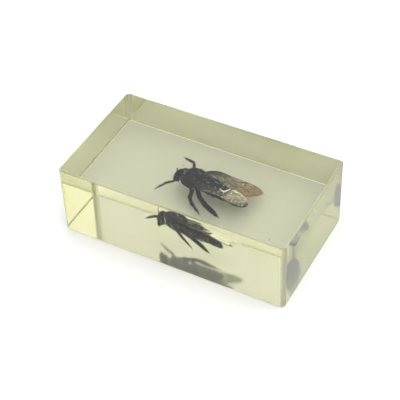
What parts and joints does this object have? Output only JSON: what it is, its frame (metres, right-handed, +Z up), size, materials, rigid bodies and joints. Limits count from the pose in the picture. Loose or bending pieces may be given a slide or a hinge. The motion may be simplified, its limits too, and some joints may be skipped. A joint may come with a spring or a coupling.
{
  "type": "carpenter bee in a resin block",
  "caption": "Long clear yellowish resin block with eased, polished edges and a black carpenter bee lying belly down inside, its wings half open over its back.",
  "frame": {"origin": "centre of the block's flat underside", "axes": "+X along the block's length, towards the bee's tail; -Y towards the long side that the picture shows; +Z up, out of the block's top face"},
  "size_m": [0.073, 0.04, 0.024],
  "materials": {
    "clear_resin": "clear cast resin with a faint yellow tint, polished on the top and sides, a little dull underneath",
    "bee_cuticle": "glossy blue-black insect cuticle with short black hair, smoky veined wings"
  },
  "bodies": {
    "root": {"resin_lower": "clear_resin", "resin_upper": "clear_resin", "bee": "bee_cuticle"}
  },
  "joints": []
}
